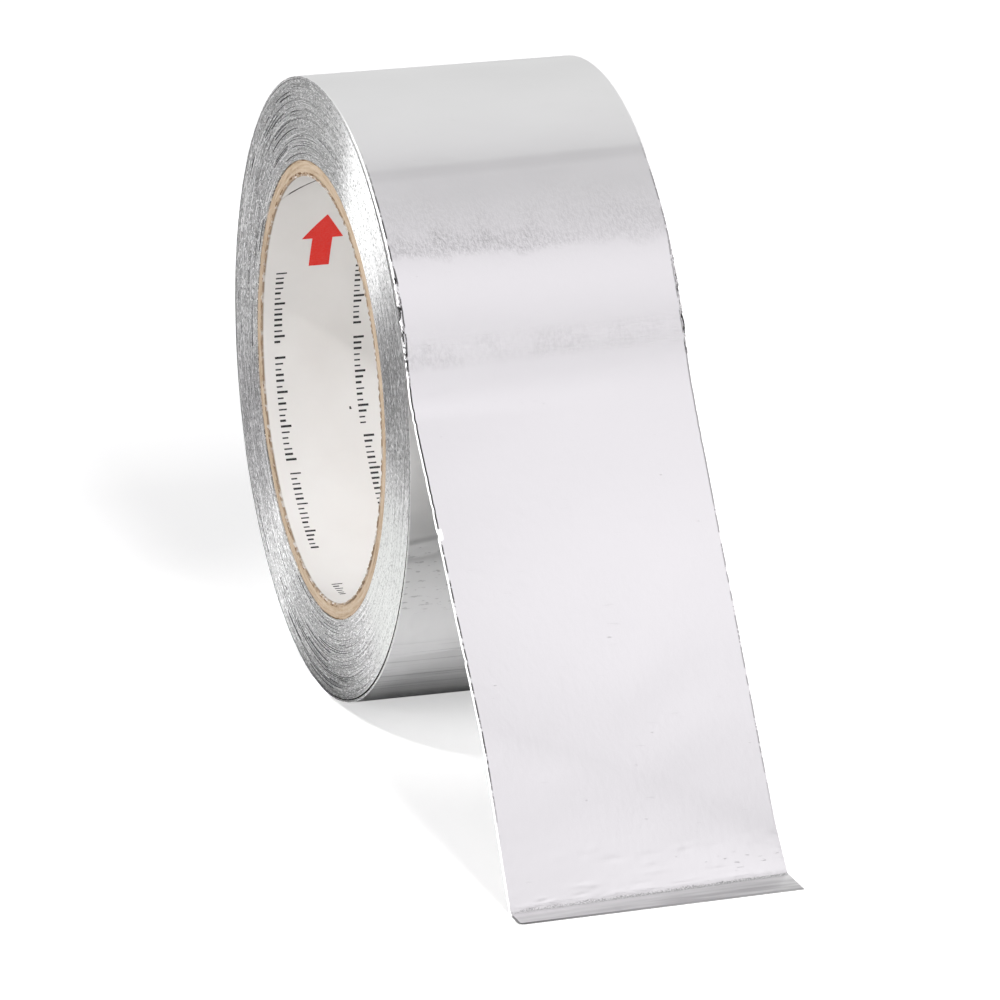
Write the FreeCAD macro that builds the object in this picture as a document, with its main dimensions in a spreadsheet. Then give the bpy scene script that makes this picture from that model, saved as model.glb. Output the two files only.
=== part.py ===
import FreeCAD, Part
import math
import os
import Sketcher

# A roll of aluminium foil tape on a paperboard core, with its free end peeled off
# and hanging forward to the surface that the roll stands on.
#
# Frame: millimetres, +Z up. The origin is the middle of the core's bore, on the
# roll's axis. +X runs along the axis, and the free end hangs on the -Y side.

doc = FreeCAD.newDocument("foil_tape_roll")

# ---------------------------------------------------------------- dimensions

dims = doc.addObject("Spreadsheet::Sheet", "dims")

DIMENSIONS = [
    ("tape_width", 50.8),         # two-inch tape
    ("tape_thickness", 0.08),     # foil and adhesive together
    ("roll_diameter", 111.7),     # over the outermost turn
    ("flat_width", 8.0),          # flat spot that the roll stands on
    ("core_bore", 76.2),          # three-inch core, inside the paper ply
    ("liner_wall", 0.3),          # smooth paper ply that lines the core
    ("core_wall", 2.6),           # spiral-wound board
    # The free end. It leaves the roll on a line above the horizontal, runs straight
    # along the roll's tangent, bends outwards, bends again lower down and creases
    # where it meets the surface. The strip is slightly twisted, so the two edges
    # have their own places. A reach is measured forwards from the roll's front and
    # a rise upwards from the surface.
    ("peel_angle", 27.0),
    ("left_peel_run", 12.7),
    ("left_peel_radius", 16.0),
    ("left_bend_reach", 42.4),
    ("left_bend_rise", 24.1),
    ("left_bend_radius", 50.0),
    ("left_crease_reach", 57.9),
    ("left_lip", 5.9),
    ("right_peel_run", 10.4),
    ("right_peel_radius", 50.0),
    ("right_bend_reach", 47.1),
    ("right_bend_rise", 6.7),
    ("right_bend_radius", 25.0),
    ("right_crease_reach", 53.9),
    ("right_lip", 8.1),
    ("crease_radius", 0.8),
    ("lip_rise", 0.4),            # the lip's cut end curls up a little
]

for row, (alias, value) in enumerate(DIMENSIONS, start=1):
    dims.set(f"A{row}", alias)
    dims.set(f"B{row}", str(value))
    dims.setAlias(f"B{row}", alias)
doc.recompute()

# Lengths that follow from the sheet, as expressions of its cells.
ROLL_RADIUS = "dims.roll_diameter / 2"
UNDER_RADIUS = "(dims.roll_diameter / 2 - dims.tape_thickness)"
FLOOR_DEPTH = f"sqrt({UNDER_RADIUS} ^ 2 - (dims.flat_width / 2) ^ 2)"
LINER_OUTER = "(dims.core_bore / 2 + dims.liner_wall)"
CORE_OUTER = "(dims.core_bore / 2 + dims.liner_wall + dims.core_wall)"

# A sketch's own x and y lie along the part's Y and Z.
ACROSS_AXIS = FreeCAD.Rotation(FreeCAD.Vector(1, 1, 1), 120)
ORIGIN = (-1, 1)
START, END, CENTRE = 1, 2, 3


def plane_sketch(name, side):
    """An empty sketch square to the axis, on the left (-1) or right (+1) side."""
    sketch = doc.addObject("Sketcher::SketchObject", name)
    sketch.Placement = FreeCAD.Placement(FreeCAD.Vector(0, 0, 0), ACROSS_AXIS)
    sketch.setExpression("Placement.Base.x", f"{side} * dims.tape_width / 2")
    return sketch


def drive(sketch, name, expression, *constraint):
    """Add a dimension to a sketch and bind it to an expression of the sheet."""
    value = float(sketch.evalExpression(expression))
    if constraint[0] == "Angle":
        value = math.radians(value)
    index = sketch.addConstraint(Sketcher.Constraint(*constraint, value))
    sketch.renameConstraint(index, name)
    sketch.setExpression(f"Constraints.{name}", expression)


def relate(sketch, *constraint):
    sketch.addConstraint(Sketcher.Constraint(*constraint))


def size(alias):
    return float(dims.get(alias))


# ---------------------------------------------------------------- wound turns

def arc_between(centre, radius, first_deg, last_deg):
    circle = Part.Circle(centre, FreeCAD.Vector(0, 0, 1), radius)
    return Part.ArcOfCircle(circle, math.radians(first_deg), math.radians(last_deg))


def polar(radius, degrees):
    angle = math.radians(degrees)
    return FreeCAD.Vector(radius * math.cos(angle), radius * math.sin(angle), 0)


def wound_section():
    """Section of the wound turns.

    The outside is the last turn of a spiral, drawn with two centres: it grows by
    one tape thickness and ends in a step, where the free end goes on from it.
    """
    sketch = plane_sketch("wound_section", -1)
    thickness = size("tape_thickness")
    outer = size("roll_diameter") / 2
    step_at = 180 - size("peel_angle")
    middle = FreeCAD.Vector(0, 0, 0)

    under = sketch.addGeometry(
        arc_between(middle, outer - thickness, step_at, step_at + 180))
    over = sketch.addGeometry(
        arc_between(polar(thickness / 2, step_at), outer - thickness / 2,
                    step_at + 180, step_at + 360))
    step = sketch.addGeometry(
        Part.LineSegment(polar(outer - thickness, step_at), polar(outer, step_at)))
    bore = sketch.addGeometry(
        Part.Circle(middle, FreeCAD.Vector(0, 0, 1), size("core_bore") / 2))

    relate(sketch, "Coincident", under, CENTRE, *ORIGIN)
    relate(sketch, "Coincident", under, START, step, START)
    relate(sketch, "PointOnObject", *ORIGIN, step)
    relate(sketch, "PointOnObject", over, CENTRE, step)
    relate(sketch, "Coincident", over, END, step, END)
    relate(sketch, "Tangent", under, END, over, START)
    relate(sketch, "Coincident", bore, CENTRE, *ORIGIN)
    drive(sketch, "under_radius", UNDER_RADIUS, "Radius", under)
    drive(sketch, "step_angle", "180 - dims.peel_angle", "Angle", step)
    drive(sketch, "step_height", "dims.tape_thickness", "Distance", step)
    drive(sketch, "bore_radius", CORE_OUTER, "Radius", bore)
    return sketch


def wound_turns():
    """The wound turns, with the flat spot that they stand on."""
    turns = doc.addObject("Part::Extrusion", "wound_turns")
    turns.Base = wound_section()
    turns.DirMode = "Custom"
    turns.Dir = FreeCAD.Vector(1, 0, 0)
    turns.Solid = True
    turns.setExpression("LengthFwd", "dims.tape_width")

    below = doc.addObject("Part::Box", "below_surface")
    below.setExpression("Length", "dims.tape_width * 2")
    below.setExpression("Width", "dims.roll_diameter")
    below.setExpression("Height", "dims.roll_diameter")
    below.setExpression("Placement.Base.x", "-dims.tape_width")
    below.setExpression("Placement.Base.y", "-dims.roll_diameter / 2")
    below.setExpression("Placement.Base.z", f"-{FLOOR_DEPTH} - dims.roll_diameter")

    standing = doc.addObject("Part::Cut", "standing_turns")
    standing.Base = turns
    standing.Tool = below
    return standing


# ---------------------------------------------------------------- free end

def rounded_route(points, radii):
    """Lines and tangent arcs that follow points, with each corner rounded."""
    pieces = []
    begin = points[0]
    for before, corner, after, radius in zip(points, points[1:], points[2:], radii):
        back = (before - corner).normalize()
        ahead = (after - corner).normalize()
        half_turn = (math.pi - back.getAngle(ahead)) / 2
        reach = radius * math.tan(half_turn)
        inwards = (back + ahead).normalize()
        first = corner + back * reach
        last = corner + ahead * reach
        middle = corner + inwards * (radius / math.cos(half_turn) - radius)
        pieces.append(Part.LineSegment(begin, first))
        pieces.append(Part.Arc(first, middle, last))
        begin = last
    pieces.append(Part.LineSegment(begin, points[-1]))
    return pieces


def edge_route(side_name, side):
    """Route of one edge of the free end, along the foil's bright face."""
    sketch = plane_sketch(f"{side_name}_edge_route", side)
    outer = size("roll_diameter") / 2
    peel = 180 - size("peel_angle")
    floor = -float(sketch.evalExpression(FLOOR_DEPTH))
    face = floor + size("tape_thickness")

    leave = polar(outer, peel)
    bend = leave + polar(size(f"{side_name}_peel_run"), peel + 90)
    lower = FreeCAD.Vector(-outer - size(f"{side_name}_bend_reach"),
                           floor + size(f"{side_name}_bend_rise"), 0)
    crease = FreeCAD.Vector(-outer - size(f"{side_name}_crease_reach"), face, 0)
    tip = crease + FreeCAD.Vector(-size(f"{side_name}_lip"), size("lip_rise"), 0)
    radii = [size(f"{side_name}_peel_radius"), size(f"{side_name}_bend_radius"),
             size("crease_radius")]

    route = [sketch.addGeometry(piece)
             for piece in rounded_route([leave, bend, lower, crease, tip], radii)]
    spoke = sketch.addGeometry(Part.LineSegment(FreeCAD.Vector(0, 0, 0), leave), True)
    corners = [sketch.addGeometry(Part.Point(corner), True)
               for corner in (bend, lower, crease)]

    # The first run leaves the roll along its tangent.
    relate(sketch, "Coincident", spoke, START, *ORIGIN)
    relate(sketch, "Coincident", spoke, END, route[0], START)
    relate(sketch, "Perpendicular", spoke, route[0])
    drive(sketch, "roll_radius", ROLL_RADIUS, "Distance", spoke)
    drive(sketch, "peel_angle", "180 - dims.peel_angle", "Angle", spoke)

    # Each corner lies on the two runs that meet there.
    for number, corner in enumerate(corners):
        run_in, arc, run_out = route[2 * number:2 * number + 3]
        relate(sketch, "PointOnObject", corner, START, run_in)
        relate(sketch, "PointOnObject", corner, START, run_out)
        join_tangent(sketch, run_in, arc)
        join_tangent(sketch, arc, run_out)
    bend, lower, crease = corners
    peel_arc, lower_arc, crease_arc = route[1::2]

    drive(sketch, "peel_run", f"dims.{side_name}_peel_run",
          "Distance", route[0], START, bend, START)
    drive(sketch, "peel_radius", f"dims.{side_name}_peel_radius", "Radius", peel_arc)
    drive(sketch, "lower_y", f"-({ROLL_RADIUS} + dims.{side_name}_bend_reach)",
          "DistanceX", *ORIGIN, lower, START)
    drive(sketch, "lower_z", f"dims.{side_name}_bend_rise - {FLOOR_DEPTH}",
          "DistanceY", *ORIGIN, lower, START)
    drive(sketch, "lower_radius", f"dims.{side_name}_bend_radius", "Radius", lower_arc)
    drive(sketch, "crease_y", f"-({ROLL_RADIUS} + dims.{side_name}_crease_reach)",
          "DistanceX", *ORIGIN, crease, START)
    drive(sketch, "crease_z", f"dims.tape_thickness - {FLOOR_DEPTH}",
          "DistanceY", *ORIGIN, crease, START)
    drive(sketch, "crease_radius", "dims.crease_radius", "Radius", crease_arc)
    drive(sketch, "lip_length", f"-dims.{side_name}_lip",
          "DistanceX", crease, START, route[-1], END)
    drive(sketch, "lip_rise", "dims.lip_rise",
          "DistanceY", crease, START, route[-1], END)
    return sketch


def join_tangent(sketch, first, second):
    """Join two pieces of a route tangent, at the ends where they meet."""
    ends = min(
        ((a, b) for a in (START, END) for b in (START, END)),
        key=lambda pair: sketch.getPoint(first, pair[0]).distanceToPoint(
            sketch.getPoint(second, pair[1])))
    relate(sketch, "Tangent", first, ends[0], second, ends[1])


def free_end():
    """The peeled strip, ruled between the sections of its two edges."""
    sections = []
    for side_name, side in (("left", -1), ("right", 1)):
        section = doc.addObject("Part::Offset2D", f"{side_name}_edge_section")
        section.Source = edge_route(side_name, side)
        section.Mode = "Skin"
        section.Join = "Tangent"
        section.Fill = True
        section.setExpression("Value", "-dims.tape_thickness")
        sections.append(section)
    strip = doc.addObject("Part::Loft", "free_end")
    strip.Sections = sections
    strip.Solid = True
    strip.Ruled = True
    return strip


def foil_tape():
    """All the foil: the wound turns and the free end are one length of tape."""
    tape = doc.addObject("Part::Fuse", "foil_tape")
    tape.Base = wound_turns()
    tape.Tool = free_end()
    return tape


# ---------------------------------------------------------------- core

def tube(name, inner, outer):
    """A tube as long as the tape is wide, centred on the origin."""
    body = doc.addObject("PartDesign::Body", name)
    plane = next(item for item in body.Origin.OriginFeatures if item.Role == "YZ_Plane")
    sketch = body.newObject("Sketcher::SketchObject", f"{name}_section")
    sketch.AttachmentSupport = (plane, [""])
    sketch.MapMode = "FlatFace"
    for edge, expression in (("inner", inner), ("outer", outer)):
        radius = float(sketch.evalExpression(expression))
        circle = sketch.addGeometry(
            Part.Circle(FreeCAD.Vector(0, 0, 0), FreeCAD.Vector(0, 0, 1), radius))
        relate(sketch, "Coincident", circle, CENTRE, *ORIGIN)
        drive(sketch, f"{edge}_radius", expression, "Radius", circle)
    pad = body.newObject("PartDesign::Pad", f"{name}_length")
    pad.Profile = sketch
    pad.Midplane = True
    pad.setExpression("Length", "dims.tape_width")
    return body


# ---------------------------------------------------------------- build

def check_and_write(nodes):
    doc.recompute()
    for item in doc.Objects:
        faults = [state for state in item.State if state in ("Invalid", "Error")]
        if faults:
            raise RuntimeError(f"{item.Name} is {', '.join(faults)}")
    for node in nodes:
        if node.Shape.isNull() or not node.Shape.isValid():
            raise RuntimeError(f"{node.Label} has no valid shape")
        if len(node.Shape.Solids) != 1:
            raise RuntimeError(f"{node.Label} has {len(node.Shape.Solids)} solids")
    os.makedirs("parts", exist_ok=True)
    for node in nodes:
        node.Shape.exportStep(os.path.join("parts", f"{node.Label}.step"))
        box = node.Shape.BoundBox
        print(f"{node.Label}: {node.Shape.Volume / 1000:.2f} cm3, "
              f"Y {box.YMin:.2f} to {box.YMax:.2f}, Z {box.ZMin:.2f} to {box.ZMax:.2f}")


check_and_write([
    foil_tape(),
    tube("core", LINER_OUTER, CORE_OUTER),
    tube("bore_liner", "dims.core_bore / 2", LINER_OUTER),
])
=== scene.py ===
"""Looks of a roll of aluminium foil tape with its free end peeled off and hanging forward.

Frame: +Z up, the origin in the middle of the core's bore, +X along the roll's axis, the
free end on the -Y side. Shapes are worked out in millimetres and angles in degrees, and
turned into metres when a mesh is made. A polar angle is measured in the YZ plane from
+Y towards +Z. Along the strip, 0 is where it leaves the roll, and its last turn is below 0.
"""
import math
from functools import partial

import bmesh
import bpy
import numpy as np
from mathutils import Matrix, Vector


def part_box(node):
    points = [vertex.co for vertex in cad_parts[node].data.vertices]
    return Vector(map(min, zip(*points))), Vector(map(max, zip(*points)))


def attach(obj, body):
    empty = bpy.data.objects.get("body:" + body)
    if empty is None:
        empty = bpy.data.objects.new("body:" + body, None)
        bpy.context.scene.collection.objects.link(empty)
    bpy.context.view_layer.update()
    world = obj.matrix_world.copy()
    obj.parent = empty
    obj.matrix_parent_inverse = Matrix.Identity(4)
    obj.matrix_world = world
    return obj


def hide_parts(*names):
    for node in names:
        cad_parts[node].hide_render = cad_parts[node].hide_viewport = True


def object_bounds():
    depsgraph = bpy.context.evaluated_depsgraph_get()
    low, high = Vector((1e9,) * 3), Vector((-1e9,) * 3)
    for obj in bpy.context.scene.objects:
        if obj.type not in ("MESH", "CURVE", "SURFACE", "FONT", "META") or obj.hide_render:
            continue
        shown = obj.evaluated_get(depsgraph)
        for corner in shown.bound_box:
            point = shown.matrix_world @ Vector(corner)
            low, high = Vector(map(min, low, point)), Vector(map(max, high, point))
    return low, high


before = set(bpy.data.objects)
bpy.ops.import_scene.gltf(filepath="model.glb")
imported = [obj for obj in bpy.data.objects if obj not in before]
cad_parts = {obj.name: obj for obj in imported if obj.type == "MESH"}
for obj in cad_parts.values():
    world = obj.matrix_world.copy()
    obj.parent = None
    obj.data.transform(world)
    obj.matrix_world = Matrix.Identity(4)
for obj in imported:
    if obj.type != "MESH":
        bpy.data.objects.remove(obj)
cad_low, cad_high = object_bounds()

MM = 0.001
rng = np.random.default_rng(20)

# ---- sizes

tape_low, tape_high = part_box("foil_tape")

HALF_WIDTH = tape_high.x / MM
FLOOR = tape_low.z / MM
LINER_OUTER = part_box("bore_liner")[1].z / MM
CORE_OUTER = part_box("core")[1].z / MM
LINER_WALL = 0.3
BORE = LINER_OUTER - LINER_WALL

ROLL_RADIUS = 55.85
TAPE = 0.08  # thickness of foil and adhesive
PEEL_AT = 153  # polar angle where the free end leaves the roll

# The free end's two edges: straight runs with rounded corners, as the CAD part has them.
# Each corner is (reach in front of the roll, rise above the floor).
EDGES = {
    "left": {"run": 12.7, "bend": (42.4, 24.1), "crease": 57.9, "lip": 5.9,
             "radii": (16.0, 50.0, 0.8)},
    "right": {"run": 10.4, "bend": (47.1, 6.7), "crease": 53.9, "lip": 8.1,
              "radii": (50.0, 25.0, 0.8)},
}
LIP_RISE = 0.4
CORNER = 0.9  # radius of the lip's left corner

LIFT_OFF = 0.34  # how far the last turn stands off before it peels away
KINK = (-32.5, -0.035, 7, 0.2)  # place along, change with x, how long it dies away, height
BURR_SPAN = (-10, 1)  # where the left edge is rolled over most, along the strip
BURR_FADE = 4  # how long the burr takes to come and go
BURR_WIDE = 0.26
NOTCH = (36, 0.2)  # a nick in the left edge: place along the strip and depth
FLAP = (1, 0.75)  # a bent bit of that edge at the notch: half length, width


def polar(radius, degrees):
    """Point or points (y, z) at a radius and a polar angle."""
    angle = np.radians(degrees)
    return np.stack([radius * np.cos(angle), radius * np.sin(angle)], axis=-1)


# ---- smooth seeded noise

def wavy(values, longest, shortest, count):
    """A sum of sine waves of random length, even in strength, about -1 to 1."""
    total = 0
    for _ in range(count):
        length = math.exp(rng.uniform(math.log(shortest), math.log(longest)))
        total += np.sin(2 * math.pi * values / length + rng.uniform(0, 2 * math.pi))
    return total / math.sqrt(count)


def ring_wave(degrees, highest, count):
    """The same round a circle, so that it meets itself."""
    total = 0
    for _ in range(count):
        times = rng.integers(1, highest + 1)
        total += np.sin(np.radians(degrees) * times + rng.uniform(0, 2 * math.pi))
    return total / math.sqrt(count)


def smooth_step(low, high, values):
    """0 up to low, 1 from high on, and a smooth rise between them."""
    share = np.clip((values - low) / (high - low), 0, 1)
    return share * share * (3 - 2 * share)


def hump(values, middle, half_width):
    """1 at the middle, falling smoothly to nearly 0 at twice the half width."""
    return np.exp(-((values - middle) / half_width) ** 2)


# ---- meshes

def link(name, data):
    """A new object in the scene."""
    made = bpy.data.objects.new(name, data)
    bpy.context.scene.collection.objects.link(made)
    return made


def make_piece(name, points, faces, materials, slots, node, crisp=None, tape_place=None):
    """A mesh object from points in millimetres, riding on the frame.

    Edges sharper than crisp, in degrees, stay sharp. Without it every face is flat. The
    tape_place is three grids of numbers, the same for both layers of a sheet.
    """
    mesh = bpy.data.meshes.new(name)
    mesh.from_pydata((np.asarray(points) * MM).tolist(), [], np.asarray(faces).tolist())
    for material in materials:
        mesh.materials.append(material)
    mesh.polygons.foreach_set("material_index", np.zeros(len(faces), np.int32) + slots)
    mesh.polygons.foreach_set("use_smooth", np.full(len(faces), crisp is not None))
    if tape_place is not None:
        layer = mesh.attributes.new("tape_place", "FLOAT_VECTOR", "POINT")
        place = np.stack(tape_place, axis=-1).astype(np.float32)
        layer.data.foreach_set("vector", np.tile(place.ravel(), 2))
    mesh.validate()
    # Every face looks outwards.
    shell = bmesh.new()
    shell.from_mesh(mesh)
    bmesh.ops.recalc_face_normals(shell, faces=shell.faces)
    shell.to_mesh(mesh)
    shell.free()
    mesh.update()
    if crisp is not None:
        mesh.set_sharp_from_angle(angle=math.radians(crisp))
    piece = link(name, mesh)
    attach(piece, "root")
    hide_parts(node)


def with_x(x, yz):
    """A list of points from their x and their (y, z)."""
    return np.concatenate([x[..., None], yz], axis=-1).reshape(-1, 3)


def quads(grid, flip=False):
    """Faces between the rows and columns of a grid of point numbers."""
    corners = (grid[:-1, :-1], grid[:-1, 1:], grid[1:, 1:], grid[1:, :-1])
    faces = np.stack([corner.ravel() for corner in corners], axis=1)
    return faces[:, ::-1] if flip else faces


def sheet_faces(rows, columns):
    """Faces of a closed thin sheet: a grid of points, and the same grid again behind it.

    Also gives what each is: 0 on the sheet's face, 1 on its back and 2 on its four edges.
    """
    grid = np.arange(rows * columns).reshape(rows, columns)
    behind = grid.size
    faces = [quads(grid, flip=True), quads(grid + behind)]
    for a, b in ((grid[:-1, 0], grid[1:, 0]), (grid[1:, -1], grid[:-1, -1]),
                 (grid[0, 1:], grid[0, :-1]), (grid[-1, :-1], grid[-1, 1:])):
        faces.append(np.stack([a, b, b + behind, a + behind], axis=1))
    kinds = [np.full(len(part), min(number, 2)) for number, part in enumerate(faces)]
    return np.concatenate(faces), np.concatenate(kinds)


# ---- shader nodes

class Field:
    """What a node gives: a value, a colour or a vector. Arithmetic on it adds nodes."""

    def __init__(self, nodes, socket):
        self.nodes = nodes
        self.socket = socket

    def __add__(self, other):
        return self.nodes.math("ADD", self, other)

    def __sub__(self, other):
        return self.nodes.math("SUBTRACT", self, other)

    def __rsub__(self, other):
        return self.nodes.math("SUBTRACT", other, self)

    def __mul__(self, other):
        return self.nodes.math("MULTIPLY", self, other)

    def __abs__(self):
        return self.nodes.math("ABSOLUTE", self)

    def or_more(self, other):
        return self.nodes.math("MAXIMUM", self, other)

    def remap(self, low, high, to_low=0, to_high=1, **settings):
        """Values from low to high moved to another range, and held at its ends."""
        return self.nodes("MapRange", {"Value": self, "From Min": low, "From Max": high,
                                       "To Min": to_low, "To Max": to_high}, **settings)

    def band(self, low, high, soft):
        """1 between two values, falling to 0 over a soft margin on each side."""
        return self.remap(low - soft, low) * self.remap(high, high + soft, 1, 0)

    def stretch(self, *scale):
        """A vector with each part scaled."""
        return self.nodes.vector("MULTIPLY", self, scale)

    def parts(self):
        """The three parts of a vector."""
        node = self.nodes.add("SeparateXYZ", {0: self})
        return [Field(self.nodes, socket) for socket in node.outputs]

    def noise(self, *stretch, scale=1, detail=3, roughness=0.5):
        """Smooth noise of 0 to 1 by place. Stretch scales each part of the place first."""
        place = self.stretch(*stretch) if stretch else self
        return self.nodes("TexNoise", {"Vector": place, "Scale": scale, "Detail": detail,
                                       "Roughness": roughness})

    def ramp(self, *stops):
        """Colours along a value: stops are (position, grey or colour)."""
        node = self.nodes.add("ValToRGB", {"Fac": self})
        elements = node.color_ramp.elements
        while len(elements) < len(stops):
            elements.new(0.5)
        for element, (position, colour) in zip(elements, stops):
            element.position = position
            element.color = colour_of(colour)
        return Field(self.nodes, node.outputs["Color"])

    def coated(self, *coats):
        """A colour under coats: each is a colour and the share that it covers."""
        result = self
        for colour, share in coats:
            result = self.nodes.mix(share, result, colour)
        return result


class Nodes:
    """A node tree. Calling it adds a node: its inputs by name or number, then settings."""

    def __init__(self, tree):
        self.tree = tree

    def __call__(self, kind, inputs=None, output=0, **settings):
        return Field(self, self.add(kind, inputs, **settings).outputs[output])

    def add(self, kind, inputs=None, **settings):
        node = self.tree.nodes.new("ShaderNode" + kind)
        for name, value in settings.items():
            setattr(node, name, value)
        self.feed(node, inputs or {})
        return node

    def feed(self, node, inputs):
        for name, value in inputs.items():
            if isinstance(value, Field):
                self.tree.links.new(value.socket, node.inputs[name])
            else:
                node.inputs[name].default_value = value

    def math(self, operation, first, second=0):
        return self("Math", {0: first, 1: second}, operation=operation)

    def vector(self, operation, first, second=(0, 0, 0), output=0):
        return self("VectorMath", {0: first, 1: second}, output, operation=operation)

    def mix(self, share, first, second):
        """Two colours mixed by a share."""
        first, second = (colour if isinstance(colour, Field) else colour_of(colour)
                         for colour in (first, second))
        return self("MixRGB", {"Fac": share, "Color1": first, "Color2": second})


class Shader(Nodes):
    """A new material, with places to paint it by."""

    def __init__(self, name):
        self.material = bpy.data.materials.new(name)
        self.material.use_nodes = True
        super().__init__(self.material.node_tree)

    def surface(self, colour, roughness, *bumps, **inputs):
        """Sets the surface and gives the material. In inputs, "_" stands for a space.

        Bumps are each a height of 0 to 1 and the depth in millimetres it stands for.
        """
        inputs = {key.replace("_", " "): value for key, value in inputs.items()}
        inputs |= {"Base Color": colour, "Roughness": roughness}
        for height, depth in bumps:
            bump = {"Height": height, "Distance": depth * MM, "Strength": 1}
            if "Normal" in inputs:
                bump["Normal"] = inputs["Normal"]
            inputs["Normal"] = self("Bump", bump)
        self.feed(self.tree.nodes["Principled BSDF"], inputs)
        return self.material

    def place(self):
        """Object coordinates in millimetres."""
        return self("TexCoord", output="Object").stretch(1 / MM, 1 / MM, 1 / MM)

    def tape_place(self):
        """Millimetres across and along the tape, and along from the fold at its foot."""
        return self("Attribute", output="Vector", attribute_name="tape_place")

    def radius(self):
        """Distance from the roll's axis in millimetres."""
        return self.vector("LENGTH", self.place().stretch(0, 1, 1), output="Value")

    def ring_place(self, around, outwards):
        """Coordinates that follow the turns: direction round the axis, and radius."""
        direction = self.vector("NORMALIZE", self.place().stretch(0, 1, 1))
        radius = self("CombineXYZ", {"X": self.radius() * outwards})
        return self.vector("ADD", direction.stretch(around, around, around), radius)


def colour_of(value):
    """A linear colour with alpha from a grey or a colour."""
    if isinstance(value, (int, float)):
        return (value, value, value, 1)
    return (*value, 1)


# ---- materials

DULL, EDGE_DARK = 0.36, 0.06  # greys of dented foil and of painted shade, and of painted shadow along its edges
PAINTED_HIGHLIGHT = 0.97  # grey of painted highlights
DARK_LIP = (0.425, 0.41, 0.425)  # colour of the lip where it is darker and patchy, with painted shade towards its front
# colour of the painted highlight on the lip beside the fold
HIGHLIGHT_TINT = (1, 0.98, 1)
PALEST = 0.62  # how pale the roll's side gets
DENTS_END = (-14.6, -13)  # the stippled foil stops here, along the strip
SEAM_DARK = 0.5  # half the width of the dark line along the liner's joint


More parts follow.
